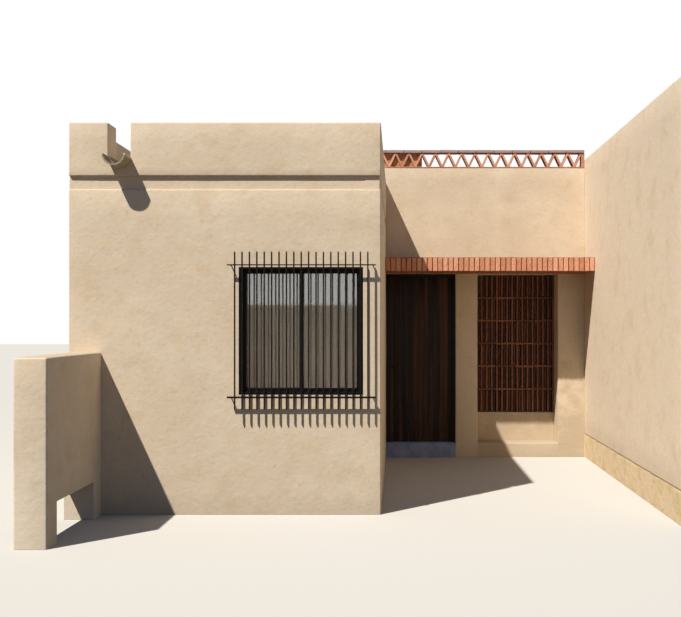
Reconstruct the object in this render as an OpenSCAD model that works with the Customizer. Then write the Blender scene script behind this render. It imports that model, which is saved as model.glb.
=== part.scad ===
// Flat-roofed adobe house of one storey, in millimetres.
// Origin at ground level under the centre of the whole plan.
// +X runs to the right of the street side, +Y runs away from the street, +Z is up.

/* [Block] */
// width of the front block
block_w = 2735; // [2500:1:3000]
// how far the block stands in front of the entry wall
block_d = 3430; // [3000:1:3800]
// thickness of the plain outer walls
wall_t = 230; // [200:1:260]
// thickness of the left wall
left_wall_t = 266; // [240:1:300]
// thickness of the block's right wall, beside the entry
right_wall_t = 140; // [120:1:150]
// height of the front parapet's top above the ground
block_h = 3436; // [3350:1:3600]
// height of the side and back parapets
side_parapet_h = 3312; // [3200:1:3340]
// width of the left parapet
left_parapet_t = 347; // [300:1:380]
// height of the groove's lower edge
groove_z = 2849; // [2800:1:2870]
// height of the groove
groove_h = 115; // [80:1:150]
// depth of the groove on the street side
groove_d = 23; // [12:1:40]
// depth of the groove on the block's right side
side_groove_d = 12; // [6:1:30]

/* [Roof drain] */
// width of the notch in the front parapet
notch_w = 192; // [150:1:230]
// outer radius of the half-round spout in front of the wall
spout_r = 102; // [90:1:105]
// wall of the spout
spout_wall = 15; // [8:1:20]
// reach of the spout in front of the wall
spout_reach = 175; // [120:1:260]
// height of the spout's rims above the roof
spout_rise = 92; // [92:1:120]

/* [Body] */
// depth of the main body behind the entry wall
body_d = 3600; // [3200:1:4200]
// height of the roof surface
roof_z = 3040; // [3000:1:3090]
// thickness of the roof slabs
roof_t = 180; // [120:1:200]
// height of the floor above the ground
floor_z = 176; // [140:1:200]

/* [Entry] */
// width between the block and the party wall
entry_w = 2480; // [2450:1:2700]
// thickness of the entry wall up to the roof
entry_t = 420; // [400:1:450]
// thickness of the entry wall above the roof
entry_parapet_t = 230; // [200:1:260]
// height of the entry wall under the lattice
entry_h = 3627; // [3560:1:3700]
// width of the pier between door and niche
pier_w = 276; // [240:1:320]
// width of the doorway
door_w = 868; // [820:1:900]
// height of the doorway's head and the niche's head
head_z = 2289; // [2200:1:2350]
// how far the door step stands in front of the wall
step_reach = 40; // [20:1:80]

/* [Canopy] */
// reach of the brick canopy in front of the wall
canopy_d = 620; // [500:1:800]
// height of the canopy
canopy_h = 165; // [120:1:200]

/* [Niche] */
// width of the niche
niche_w = 1002; // [950:1:1040]
// depth of the niche in front of its screen
niche_d = 270; // [240:1:335]
// height of the solid wall at the back of the niche
niche_back_h = 361; // [250:1:450]
// rows of the screen
screen_rows = 6; // [4:1:8]
// upright slats of the screen
screen_slats = 14; // [9:1:19]
// width of a slat
slat_w = 22; // [14:1:26]
// thickness of the flat shelves between the rows
shelf_t = 25; // [18:1:32]
// thickness of the screen
screen_t = 60; // [40:1:64]

/* [Lattice] */
// number of V forms in the parapet lattice
vee_n = 16; // [9:1:18]
// how far the lattice runs on behind the block's parapet
lattice_over = 226; // [150:1:300]
// width of the upright end bricks
end_brick_w = 38; // [30:1:60]
// height of the V forms
vee_h = 174; // [140:1:200]
// thickness of a leaning brick
brick_t = 25; // [18:1:34]
// width of the bricks, across the wall
brick_w = 115; // [90:1:120]
// height of the cap course
cap_h = 37; // [25:1:45]
// how far the cap course stands in front of the lattice
cap_lip = 8; // [2:1:20]
// length of the plastered pier behind the lattice
backing_w = 675; // [400:1:900]

/* [Door] */
// visible width of the door frame
door_frame_w = 42; // [36:1:70]
// how far the frame laps over the leaf
door_lap = 16; // [12:1:18]
// depth of the door frame
door_frame_d = 90; // [70:1:110]
// how far the door frame stands back from the wall face
door_set = 60; // [30:1:90]
// thickness of the door leaf
leaf_t = 45; // [35:1:50]
// gap round the door leaf
leaf_gap = 6; // [5:1:8]
// width of a door plank
plank_w = 62; // [50:1:150]
// depth and width of the joints between the planks
plank_joint = 4; // [3:1:8]

/* [Window] */
// wall between the window and the block's right corner
window_edge = 157; // [152:1:300]
// height of the window sill
window_z = 1050; // [1000:1:1100]
// width of the window
window_w = 1089; // [900:1:1300]
// height of the window
window_h = 1117; // [1000:1:1120]
// visible width of the window frame
window_frame_w = 24; // [18:1:40]
// depth of the window frame
window_frame_d = 90; // [80:1:120]
// visible width of a sash rail
sash_rail = 32; // [20:1:38]
// thickness of a sash
sash_t = 28; // [24:1:32]
// how far the front sash stands back in the frame
sash_set = 22; // [6:1:26]
// thickness of a pane
pane_t = 5; // [4:1:8]

/* [Grille] */
// number of upright bars
bar_n = 19; // [11:1:21]
// distance between the bars
bar_pitch = 64.2; // [55:0.1:66]
// thickness of a square bar
bar_w = 12; // [10:1:18]
// height of the bars' lower ends
bar_z = 921; // [860:1:940]
// length of the bars
bar_len = 1378; // [1330:1:1400]
// height of the lower rail
rail_low_z = 1022; // [1000:1:1040]
// height of the upper rail
rail_high_z = 2177; // [2150:1:2190]
// length of the rails
rail_len = 1293; // [1280:1:1330]
// height of the lower rail's iron
low_rail_h = 16; // [10:1:24]
// height of the upper rail's iron
high_rail_h = 10; // [9:1:20]
// distance from the wall to the rails
grille_gap = 51; // [40:1:90]

/* [Garden wall] */
// length of the low wall in front of the block
fin_len = 1240; // [900:1:1300]
// height of the low wall
fin_h = 1424; // [1300:1:1500]
// thickness of the low wall
fin_t = 256; // [220:1:280]
// how far the low wall stands in from the block's left side
fin_inset = 32; // [0:1:60]
// height of the opening at its foot
fin_open_h = 320; // [250:1:400]
// length of wall left standing at each end of the opening
fin_foot = 200; // [150:1:250]

/* [Party wall] */
// thickness of the right party wall
party_t = 250; // [200:1:300]
// height of the right party wall
party_h = 3715; // [3680:1:3780]
// how far the party wall runs in front of the block
party_front = 500; // [300:1:800]
// height of its rough plinth
plinth_h = 295; // [200:1:350]
// thickness of the plinth's render
plinth_t = 14; // [10:1:20]
// how far the wall's plaster stands over the plinth
plinth_drip = 7; // [4:1:12]

/* [Curtain] */
// number of folds in the curtain
fold_n = 13; // [7:1:17]
// depth of the folds
fold_d = 24; // [12:1:30]

/* [Hidden] */
total_w = block_w + entry_w + party_t;
total_d = fin_len + block_d + body_d;
x0 = -total_w / 2;
x_block = x0 + block_w;
x_party = x_block + entry_w;
x1 = x_party + party_t;
bar_d = 12;
rear_reach = grille_gap + bar_d + bar_w;
y0 = -(total_d + rear_reach) / 2;
y_front = y0 + fin_len;
y_entry = y_front + block_d;
y1 = y0 + total_d;
y_entry_in = y_entry + entry_t;
x_left_in = x0 + left_wall_t;
x_right_in = x_block - right_wall_t;
y_back_in = y1 - wall_t;
ceiling_z = roof_z - roof_t;
notch_x = x0 + left_parapet_t;
spout_z = roof_z + spout_rise;
spout_run = wall_t + 60;
spout_lap = 20;
spout_in_r = spout_r - spout_wall + 3;
door_x = x_block;
pier_x = door_x + door_w;
niche_x = pier_x + pier_w;
niche_x2 = niche_x + niche_w;
screen_y = y_entry + niche_d;
screen_z = floor_z + niche_back_h;
screen_h = head_z - screen_z;
row_h = screen_h / screen_rows;
vee_z = entry_h;
cap_z = vee_z + vee_h;
lean_w = brick_t * 1.12;
lattice_x = x_block - lattice_over;
vee_span = entry_w + lattice_over - end_brick_w - lean_w / 2;
vee_pitch = vee_span / vee_n;
frame_y = y_entry + door_set;
rebate_w = door_frame_w - door_lap - leaf_gap;
leaf_w = door_w - 2 * rebate_w - 2 * leaf_gap;
leaf_h = head_z - floor_z - rebate_w - 2 * leaf_gap;
leaf_x = door_x + rebate_w + leaf_gap;
leaf_y = frame_y + door_frame_d - leaf_t;
leaf_z = floor_z + leaf_gap;
rebate_y = leaf_y - leaf_gap;
plank_n = floor(leaf_w / plank_w);
plank_pitch = leaf_w / plank_n;
hinge_r = 8;
hinge_h = 90;
hinge_x = leaf_x + leaf_w + leaf_gap / 2;
hinge_y = leaf_y + leaf_t + hinge_r + 5;
hinge_plate_t = 6;
hinge_plate_w = 60;
win_x = x_block - window_edge - window_w;
rear_win_x = -win_x - window_w;
inner_w = window_w - 2 * window_frame_w;
inner_h = window_h - 2 * window_frame_w;
sash_w = inner_w / 2 + sash_rail / 2;
bar_row_w = (bar_n - 1) * bar_pitch;
rail_bite = 2;
bar_tip = 12;
leg_w = 8;
leg_h = 8;
leg_in = 0;
leg_inset = 26;
grille_shift = 11;
curtain_gap = 60;
curtain_t = 4;
curtain_x = win_x - 60;
curtain_end = 12;
curtain_z = window_z - 90;
rail_y = y_front + wall_t + curtain_gap + fold_d / 2;
rail_z = window_z + window_h + 70;
rail_r = 10;
rail_over = 70;
fold_p = (x_right_in - curtain_end - curtain_x) / fold_n;

// the piece to draw, or all of them

module slab(x, y, z, w, d, h) {
    translate([x, y, z]) cube([w, d, h]);
}

// the shallow groove under the parapet, along the street side and the block's right side
module groove_cut() {
    slab(x0 - 50, y_front - 50, groove_z, block_w + 100, groove_d + 50, groove_h);
    slab(x_block - side_groove_d, y_front - 50, groove_z, side_groove_d + 50, block_d + 50,
        groove_h);
}

module left_wall() {
    color("#d9c2a0") difference() {
        slab(x0, y_front, 0, left_wall_t, total_d - fin_len, roof_z);
        groove_cut();
    }
}

module front_wall() {
    color("#d9c2a0") difference() {
        slab(x_left_in, y_front, 0, x_right_in - x_left_in, wall_t, roof_z);
        slab(win_x, y_front - 1, window_z, window_w, wall_t + 2, window_h);
        groove_cut();
    }
}

module block_right_wall() {
    color("#d9c2a0") difference() {
        slab(x_right_in, y_front, 0, right_wall_t, block_d + entry_t, roof_z);
        groove_cut();
    }
}

module back_wall() {
    color("#d9c2a0") difference() {
        slab(x_left_in, y_back_in, 0, x_party - x_left_in, wall_t, roof_z);
        slab(rear_win_x, y_back_in - 1, window_z, window_w, wall_t + 2, window_h);
    }
}

// parapet over the street side, with the notch whose round foot holds the spout
module front_parapet() {
    color("#d9c2a0") difference() {
        slab(x0, y_front, roof_z, block_w, wall_t, block_h - roof_z);
        slab(notch_x, y_front - 1, spout_z, notch_w, wall_t + 2, block_h - spout_z + 1);
        translate([notch_x + notch_w / 2, y_front - 1, spout_z]) rotate([-90, 0, 0])
            cylinder(h = wall_t + 2, r = notch_w / 2, $fn = 96);
    }
}

module left_parapet() {
    color("#d9c2a0")
        slab(x0, y_front + wall_t, roof_z, left_parapet_t,
            y_back_in - y_front - wall_t, side_parapet_h - roof_z);
}

module block_right_parapet() {
    color("#d9c2a0")
        slab(x_right_in, y_front + wall_t, roof_z, right_wall_t,
            block_d - wall_t, block_h - roof_z);
}

module back_parapet() {
    color("#d9c2a0")
        slab(x0, y_back_in, roof_z, x_party - x0, wall_t, side_parapet_h - roof_z);
}

module front_roof() {
    color("#b9aa94")
        slab(x_left_in, y_front + wall_t, ceiling_z, x_right_in - x_left_in,
            block_d + entry_t - wall_t, roof_t);
}

module main_roof() {
    color("#b9aa94")
        slab(x_left_in, y_entry_in, ceiling_z, x_party - x_left_in, y_back_in - y_entry_in,
            roof_t);
}

module front_floor() {
    color("#a58a6e")
        slab(x_left_in, y_front + wall_t, 0, x_right_in - x_left_in,
            block_d + entry_t - wall_t, floor_z);
}

module main_floor() {
    color("#a58a6e")
        slab(x_left_in, y_entry_in, 0, x_party - x_left_in, y_back_in - y_entry_in, floor_z);
}

module entry_lintel_wall() {
    color("#dfc29b") slab(x_block, y_entry, head_z, entry_w, entry_t, roof_z - head_z);
}

module entry_parapet() {
    color("#dfc29b")
        slab(lattice_x, y_entry, roof_z, entry_w + lattice_over, entry_parapet_t,
            entry_h - roof_z);
}

module entry_pier() {
    color("#dfc29b") slab(pier_x, y_entry, 0, pier_w, entry_t, head_z);
}

module entry_wall_right() {
    color("#dfc29b") slab(niche_x2, y_entry, 0, x_party - niche_x2, entry_t, head_z);
}

module niche_sill_wall() {
    color("#dfc29b") slab(niche_x, y_entry, 0, niche_w, entry_t, floor_z);
}

module niche_back_wall() {
    color("#dfc29b")
        slab(niche_x, screen_y, floor_z, niche_w, y_entry_in - screen_y, niche_back_h);
}

// clay screen at the back of the niche: rows of upright slats between flat shelves,
// with a second layer of slats behind the gaps of the first
module niche_screen() {
    slat_step = (niche_w - slat_w) / (screen_slats + 1);
    layer_d = screen_t * 0.35;
    layer_y = screen_y + screen_t * 0.15;
    color("#8f4a33") {
        for (i = [0 : screen_slats + 1])
            slab(niche_x + i * slat_step, layer_y, screen_z, slat_w, layer_d, screen_h);
        for (i = [0 : screen_slats])
            slab(niche_x + (i + 0.5) * slat_step, layer_y + layer_d, screen_z, slat_w, layer_d,
                screen_h);
        for (j = [1 : screen_rows - 1])
            slab(niche_x, screen_y, screen_z + j * row_h - shelf_t / 2, niche_w, screen_t,
                shelf_t);
    }
}

module entry_canopy() {
    color("#c9795a") slab(x_block, y_entry - canopy_d, head_z, entry_w, canopy_d, canopy_h);
}

// one thin brick that leans from its foot to its head, both cut level
module leaning_brick(foot, head) {
    translate([0, y_entry + brick_w, vee_z]) rotate([90, 0, 0])
        linear_extrude(height = brick_w)
            polygon([[foot - lean_w / 2, 0], [foot + lean_w / 2, 0],
                [head + lean_w / 2, vee_h], [head - lean_w / 2, vee_h]]);
}

// zigzag of leaning bricks on top of the entry wall, closed by upright end bricks
module parapet_lattice() {
    color("#c9795a") intersection() {
        union() {
            for (i = [0 : vee_n - 1]) {
                left = lattice_x + i * vee_pitch + lean_w / 2;
                leaning_brick(left + vee_pitch / 2, left);
                leaning_brick(left + vee_pitch / 2, left + vee_pitch);
            }
            slab(x_party - end_brick_w, y_entry, vee_z, end_brick_w, brick_w, vee_h);
        }
        slab(lattice_x, y_entry, vee_z, entry_w + lattice_over, brick_w, vee_h);
    }
}

module lattice_cap() {
    color("#c9795a")
        slab(lattice_x, y_entry - cap_lip, cap_z, entry_w + lattice_over,
            brick_w + 2 * cap_lip, cap_h);
}

module lattice_backing() {
    color("#dfc29b")
        slab(lattice_x, y_entry + brick_w + cap_lip, vee_z, backing_w,
            entry_parapet_t - brick_w - cap_lip, vee_h + cap_h);
}

module door_step() {
    color("#9a9893") slab(door_x, y_entry - step_reach, 0, door_w, entry_t + step_reach, floor_z);
}

// frame with a rebate behind its stop, for the leaf
module door_frame() {
    color("#17120f") difference() {
        slab(door_x, frame_y, floor_z, door_w, door_frame_d, head_z - floor_z);
        slab(door_x + door_frame_w, frame_y - 1, floor_z - 1, door_w - 2 * door_frame_w,
            door_frame_d + 2, head_z - floor_z - door_frame_w + 1);
        slab(door_x + rebate_w, rebate_y, floor_z - 1, door_w - 2 * rebate_w,
            door_frame_d, head_z - floor_z - rebate_w + 1);
    }
}

// plank door, with a narrow joint between the planks on both faces
module door_leaf() {
    color("#2c1c14") difference() {
        slab(leaf_x, leaf_y, leaf_z, leaf_w, leaf_t, leaf_h);
        for (i = [1 : plank_n - 1])
            for (y = [leaf_y - 1, leaf_y + leaf_t - plank_joint])
                slab(leaf_x + i * plank_pitch - plank_joint / 2, y, leaf_z - 1, plank_joint,
                    plank_joint + 1, leaf_h + 2);
    }
}

// short lever handle on a round rose
module door_handle() {
    rose_r = 24;
    rose_t = 8;
    lever_r = 8;
    lever_len = 66;
    lever_out = 36;
    handle_z = 1120;
    handle_x = leaf_x + 72;
    color("#101010") {
        translate([handle_x, leaf_y, handle_z]) rotate([90, 0, 0])
            cylinder(h = rose_t, r = rose_r, $fn = 64);
        translate([handle_x, leaf_y, handle_z]) rotate([90, 0, 0])
            cylinder(h = lever_out, r = lever_r, $fn = 48);
        translate([handle_x - lever_r, leaf_y - lever_out, handle_z]) rotate([0, 90, 0])
            cylinder(h = lever_len, r = lever_r, $fn = 48);
    }
}

// three knuckles on the hinge line, each with a plate on the back of the leaf
module door_hinges() {
    color("#101010")
        for (z = [leaf_z + 200, leaf_z + leaf_h / 2, leaf_z + leaf_h - 200]) {
            translate([hinge_x, hinge_y, z - hinge_h / 2])
                cylinder(h = hinge_h, r = hinge_r, $fn = 48);
            slab(leaf_x + leaf_w - hinge_plate_w, leaf_y + leaf_t, z - hinge_h / 2,
                hinge_plate_w, hinge_plate_t, hinge_h);
        }
}

module outer_frame(x, y) {
    difference() {
        slab(x, y, window_z, window_w, window_frame_d, window_h);
        slab(x + window_frame_w, y - 1, window_z + window_frame_w, inner_w,
            window_frame_d + 2, inner_h);
    }
}

module sash(x, y) {
    difference() {
        slab(x, y, window_z + window_frame_w, sash_w, sash_t, inner_h);
        slab(x + sash_rail, y - 1, window_z + window_frame_w + sash_rail,
            sash_w - 2 * sash_rail, sash_t + 2, inner_h - 2 * sash_rail);
    }
}

module pane(x, y) {
    slab(x + sash_rail, y + (sash_t - pane_t) / 2, window_z + window_frame_w + sash_rail,
        sash_w - 2 * sash_rail, pane_t, inner_h - 2 * sash_rail);
}

module window_frame() {
    color("#0c1116") outer_frame(win_x, y_front);
}

module left_sash() {
    color("#0c1116") sash(win_x + window_frame_w, y_front + sash_set + sash_t);
}

module right_sash() {
    color("#0c1116") sash(win_x + window_w - window_frame_w - sash_w, y_front + sash_set);
}

module left_pane() {
    color("#8fa3ad", 0.4) pane(win_x + window_frame_w, y_front + sash_set + sash_t);
}

module right_pane() {
    color("#8fa3ad", 0.4)
        pane(win_x + window_w - window_frame_w - sash_w, y_front + sash_set);
}

// one leg of a fold, from the near crest to the far crest
module fold_leg(near, far) {
    lap = curtain_t / 2;
    polygon([[near - lap, 0], [near + lap, 0], [far + lap, fold_d], [far - lap, fold_d]]);
}

// curtain that hangs in upright folds behind the window
module curtain() {
    color("#b8b2a6") translate([curtain_x, y_front + wall_t + curtain_gap, curtain_z])
        linear_extrude(height = rail_z - rail_r - 2 - curtain_z)
            for (i = [0 : fold_n - 1]) {
                fold_leg(i * fold_p, (i + 0.5) * fold_p);
                fold_leg((i + 1) * fold_p, (i + 0.5) * fold_p);
            }
}

// one upright bar with chisel tips, its back on y = 0
module grille_bar() {
    half = bar_w / 2;
    blunt = bar_w * 0.15;
    translate([0, bar_w, 0]) rotate([90, 0, 0]) linear_extrude(height = bar_w)
        polygon([[-half, bar_tip], [-blunt, 0], [blunt, 0], [half, bar_tip],
            [half, bar_len - bar_tip], [blunt, bar_len], [-blunt, bar_len],
            [-half, bar_len - bar_tip]]);
}

// rod from the block's right wall to a bracket on the front wall, over the window
module curtain_rail() {
    rail_w = x_right_in - curtain_x + rail_over;
    bracket_w = 12;
    color("#2a2622") {
        translate([curtain_x - rail_over, rail_y, rail_z]) rotate([0, 90, 0])
            cylinder(h = rail_w, r = rail_r, $fn = 48);
        slab(curtain_x - rail_over + 20, y_front + wall_t, rail_z - rail_r, bracket_w,
            rail_y - y_front - wall_t, 2 * rail_r);
    }
}

// iron grille: upright bars on two flat rails, with four legs set into the wall
module grille(x_mid, y_wall, out) {
    y_bar = out > 0 ? grille_gap + bar_d : -grille_gap - bar_d - bar_w;
    y_rail = out > 0 ? grille_gap : -grille_gap - bar_d - rail_bite;
    y_leg = out > 0 ? -leg_in : -grille_gap - rail_bite;
    translate([x_mid, y_wall, 0]) {
        for (i = [0 : bar_n - 1])
            translate([i * bar_pitch - bar_row_w / 2, y_bar, bar_z]) grille_bar();
        for (rail = [[rail_low_z, low_rail_h], [rail_high_z, high_rail_h]]) {
            slab(-rail_len / 2, y_rail, rail[0], rail_len, bar_d + rail_bite, rail[1]);
            for (side = [-1, 1])
                slab(side * (rail_len / 2 - leg_inset) - leg_w / 2, y_leg, rail[0], leg_w,
                    grille_gap + leg_in + rail_bite, leg_h);
        }
    }
}

module window_grille() {
    color("#1a120c") grille(win_x + window_w / 2 + grille_shift, y_front, -1);
}

module rear_window_frame() {
    color("#0c1116") outer_frame(rear_win_x, y1 - window_frame_d);
}

module rear_sashes() {
    color("#0c1116") {
        sash(rear_win_x + window_frame_w, y1 - sash_set - sash_t);
        sash(rear_win_x + window_w - window_frame_w - sash_w, y1 - sash_set - 2 * sash_t);
    }
}

module rear_pane() {
    color("#8fa3ad", 0.4) {
        pane(rear_win_x + window_frame_w, y1 - sash_set - sash_t);
        pane(rear_win_x + window_w - window_frame_w - sash_w, y1 - sash_set - 2 * sash_t);
    }
}

module rear_grille() {
    color("#1a120c") grille(rear_win_x + window_w / 2, y1, 1);
}

// half of a pipe with its open side up, laid along the Y axis
module half_pipe(r, len) {
    difference() {
        cylinder(h = len, r = r, $fn = 96);
        translate([0, 0, -1]) cylinder(h = len + 2, r = r - spout_wall, $fn = 96);
        translate([-r - 1, -r - 1, -1]) cube([2 * r + 2, r + 1, len + 2]);
    }
}

// half-round clay spout that drains the roof through the notch
module spout() {
    color("#c0ab8c") translate([notch_x + notch_w / 2, y_front, spout_z])
        rotate([-90, 0, 0]) {
            translate([0, 0, -spout_reach]) half_pipe(spout_r, spout_reach);
            translate([0, 0, -spout_lap]) half_pipe(spout_in_r, spout_lap + spout_run);
        }
}

module low_wall() {
    color("#d9c2a0") difference() {
        slab(x0 + fin_inset, y0, 0, fin_t, fin_len, fin_h);
        slab(x0 + fin_inset - 1, y0 + fin_foot, -1, fin_t + 2, fin_len - 2 * fin_foot,
            fin_open_h + 1);
    }
}

// its foot is cut back for the plinth, so that its plaster ends in a small drip edge
module right_party_wall() {
    color("#d9c2a0") difference() {
        slab(x_party, y_front - party_front, 0, party_t, y1 - y_front + party_front, party_h);
        slab(x_party - 1, y_front - party_front - 1, -1, plinth_t + plinth_drip + 1,
            y_entry - y_front + party_front + 1, plinth_h + 1);
    }
}

module right_wall_plinth() {
    color("#cdb595")
        slab(x_party + plinth_drip, y_front - party_front, 0, plinth_t,
            y_entry - y_front + party_front, plinth_h);
}

left_wall();
front_wall();
block_right_wall();
back_wall();
front_parapet();
left_parapet();
block_right_parapet();
back_parapet();
front_roof();
main_roof();
front_floor();
main_floor();
entry_lintel_wall();
entry_parapet();
entry_pier();
entry_wall_right();
niche_sill_wall();
niche_back_wall();
niche_screen();
entry_canopy();
parapet_lattice();
lattice_cap();
lattice_backing();
door_step();
door_frame();
door_leaf();
door_handle();
door_hinges();
window_frame();
left_sash();
right_sash();
left_pane();
right_pane();
curtain();
curtain_rail();
window_grille();
rear_window_frame();
rear_sashes();
rear_pane();
rear_grille();
spout();
low_wall();
right_party_wall();
right_wall_plinth();
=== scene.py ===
# Flat-roofed adobe house of one storey: looks, light and camera.
import math
import bpy
import bmesh
import numpy as np
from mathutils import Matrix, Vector


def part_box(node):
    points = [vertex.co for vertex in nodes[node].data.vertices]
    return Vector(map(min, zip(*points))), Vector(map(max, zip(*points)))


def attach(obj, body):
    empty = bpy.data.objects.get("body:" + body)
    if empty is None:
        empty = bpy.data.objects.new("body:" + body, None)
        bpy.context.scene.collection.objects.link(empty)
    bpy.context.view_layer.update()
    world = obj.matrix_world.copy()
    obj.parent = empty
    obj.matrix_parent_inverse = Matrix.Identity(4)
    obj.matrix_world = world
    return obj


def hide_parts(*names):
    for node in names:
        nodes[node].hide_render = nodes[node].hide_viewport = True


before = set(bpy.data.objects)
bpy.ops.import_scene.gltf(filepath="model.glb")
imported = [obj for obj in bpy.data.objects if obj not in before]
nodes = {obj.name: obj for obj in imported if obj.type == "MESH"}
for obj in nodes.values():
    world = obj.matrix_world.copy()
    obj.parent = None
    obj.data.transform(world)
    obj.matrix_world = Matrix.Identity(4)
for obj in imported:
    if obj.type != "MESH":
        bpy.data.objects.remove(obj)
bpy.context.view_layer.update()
scene = bpy.context.scene
print("frame loaded:", len(nodes), "solids")


# shader tools

def linearColour(hexText):
    # sRGB hex to the linear numbers that shaders take
    parts = np.array([int(hexText[i:i + 2], 16) for i in (1, 3, 5)]) / 255
    parts = np.where(parts <= 0.04045, parts / 12.92, ((parts + 0.055) / 1.055) ** 2.4)
    return (*parts.tolist(), 1.0)


def addNode(tree, kind, inputs=None, give=0, **settings):
    # adds one shader node with its settings, its values and its links, and gives one output
    made = tree.nodes.new("ShaderNode" + kind)
    for key, value in settings.items():
        setattr(made, key, value)
    for key, value in (inputs or {}).items():
        if isinstance(value, bpy.types.NodeSocket):
            tree.links.new(value, made.inputs[key])
        else:
            made.inputs[key].default_value = value
    return made.outputs[give] if len(made.outputs) else made


rgba = {"give": 2, "data_type": "RGBA"}  # settings of a Mix node that mixes two colours


def newMaterial(name, **values):
    # a material with its shader's values, its node tree, and the place on the object in metres
    made = bpy.data.materials.new(name)
    made.use_nodes = True
    tree = made.node_tree
    for key, value in values.items():
        tree.nodes["Principled BSDF"].inputs[key.replace("_", " ")].default_value = value
    return made, tree, addNode(tree, "TexCoord", give="Object")


def connect(made, **outputs):
    # links outputs to the shader's inputs of those names, and gives the material back
    tree = made.node_tree
    for key, output in outputs.items():
        tree.links.new(output, tree.nodes["Principled BSDF"].inputs[key.replace("_", " ")])
    return made


def stain(tree, where, colour, coats):
    # lays stains over a colour, one after the other. A coat is its colour, the size of its
    # patches in metres, their detail, the span of noise that it fades in over, and its share
    for tint, size, detail, low, high, share in coats:
        noise = addNode(tree, "TexNoise", {"Vector": where, "Scale": 1 / size, "Detail": detail,
                                           "Roughness": 0.6})
        amount = addNode(tree, "MapRange", {0: noise, 1: low, 2: high, 3: 0.0, 4: share},
                         interpolation_type="SMOOTHSTEP")
        colour = addNode(tree, "Mix", {0: amount, 6: colour, 7: linearColour(tint)}, **rgba)
    return colour


def roughen(tree, where, grains):
    # relief of several grains, one over the other: a grain is its size in metres, its detail
    # and its depth in metres
    normal = None
    for size, detail, depth in grains:
        noise = addNode(tree, "TexNoise", {"Vector": where, "Scale": 1 / size, "Detail": detail,
                                           "Roughness": 0.6})
        under = {"Normal": normal} if normal else {}
        normal = addNode(tree, "Bump", {"Height": noise, "Distance": depth, **under})
    return normal


def tintByFacing(tree, colour, tint, start, full, share):
    # mixes a tint in where the upward part of the true normal goes from start to full
    facing = addNode(tree, "NewGeometry", give="True Normal")
    upward = addNode(tree, "SeparateXYZ", {0: facing}, give=2)
    amount = addNode(tree, "MapRange", {0: upward, 1: start, 2: full, 3: 0.0, 4: share})
    return addNode(tree, "Mix", {0: amount, 6: colour, 7: linearColour(tint)}, **rgba)


def tintByAttribute(tree, where, colour, key, tint, size, detail, low, high, least):
    # mixes a tint in by the piece's own attribute times patches of noise, whose share goes
    # from the least one to the whole between low and high
    held = addNode(tree, "Attribute", give="Fac", attribute_name=key)
    patch = addNode(tree, "TexNoise", {"Vector": where, "Scale": 1 / size, "Detail": detail})
    amount = addNode(tree, "MapRange", {0: patch, 1: low, 2: high, 3: least, 4: 1.0})
    amount = addNode(tree, "Math", {0: amount, 1: held}, operation="MULTIPLY")
    return addNode(tree, "Mix", {0: amount, 6: colour, 7: linearColour(tint)}, **rgba)


def stainedMaterial(name, look, **values):
    # a material of one colour under its stains, with its grains
    made, tree, where = newMaterial(name, **values)
    return connect(made, Base_Color=stain(tree, where, linearColour(look["base"]), look["coats"]),
                   Normal=roughen(tree, where, look["grains"]))


# materials

def limePlaster(name, look):
    # lime and clay plaster, floated by hand over adobe: matt, pale sand colour, cloudy where
    # the coat dried unevenly, a fine sanded grain, a foot stained by dust and splashes (painted
    # shade on the entry recess copy), and tops that rain has turned brown
    made, tree, where = newMaterial(name, Roughness=0.92, IOR=1.45)
    colour = stain(tree, where, linearColour(look["base"]), look["coats"])
    height = addNode(tree, "SeparateXYZ", {0: where}, give=2)
    ragged = addNode(tree, "TexNoise", {"Vector": where, "Scale": look["footRagged"],
                                        "Detail": 4.0})
    edge = addNode(tree, "Math", {0: ragged, 1: -look["footHeight"], 2: height},
                   operation="MULTIPLY_ADD")
    share = addNode(tree, "MapRange", {0: edge, 1: 0.02, 2: 0.02 - look["footBlend"],
                                       3: 0.0, 4: look["footShare"]})
    colour = addNode(tree, "Mix", {0: share, 6: colour, 7: linearColour(look["foot"])}, **rgba)
    colour = tintByFacing(tree, colour, *look["top"])
    return connect(made, Base_Color=colour, Normal=roughen(tree, where, look["grains"]))


plasterLook = {
    "base": "#D8C5AB", "foot": "#B7A48A", "footHeight": 0.35, "footShare": 0.3,
    "footBlend": 0.18, "footRagged": 7.0, "top": ("#A0907B", 0.5, 0.98, 0.8),
    "coats": (("#DFCEB4", 0.6, 5, 0.38, 0.66, 0.7), ("#CBB492", 0.24, 5, 0.5, 0.72, 0.5),
              ("#DCC29E", 0.1, 4, 0.48, 0.72, 0.5), ("#BEA88A", 0.035, 4, 0.54, 0.74, 0.4),
              ("#E8DAC2", 0.014, 2, 0.56, 0.76, 0.4)),
    "grains": ((0.16, 3, 0.0034), (0.045, 4, 0.0019), (0.009, 2, 0.0009))}
plaster = limePlaster("limePlasterFloated", plasterLook)
# paler on the party wall; darker with a dark foot up to 2.2 m on the walls of the entry
# recess, as painted shade; and pale with dust on the low wall beside the street
partyPlaster = limePlaster("limePlasterBleached", {
    **plasterLook, "base": "#DFCCB3", "footShare": 0.1})
# recess copy: darker base and a dark foot up to 2.2 m, painted shade in the entry recess
recessShadePlaster = limePlaster("limePlasterSplashed", {
    **plasterLook, "base": "#D4C0A5", "foot": "#AE9C81", "footHeight": 2.2, "footShare": 0.5,
    "footBlend": 0.7})
dustyPlaster = limePlaster("limePlasterDusty", {
    **plasterLook, "foot": "#E4D6BE", "footHeight": 1.7, "footShare": 0.6, "footBlend": 0.5})

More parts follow.
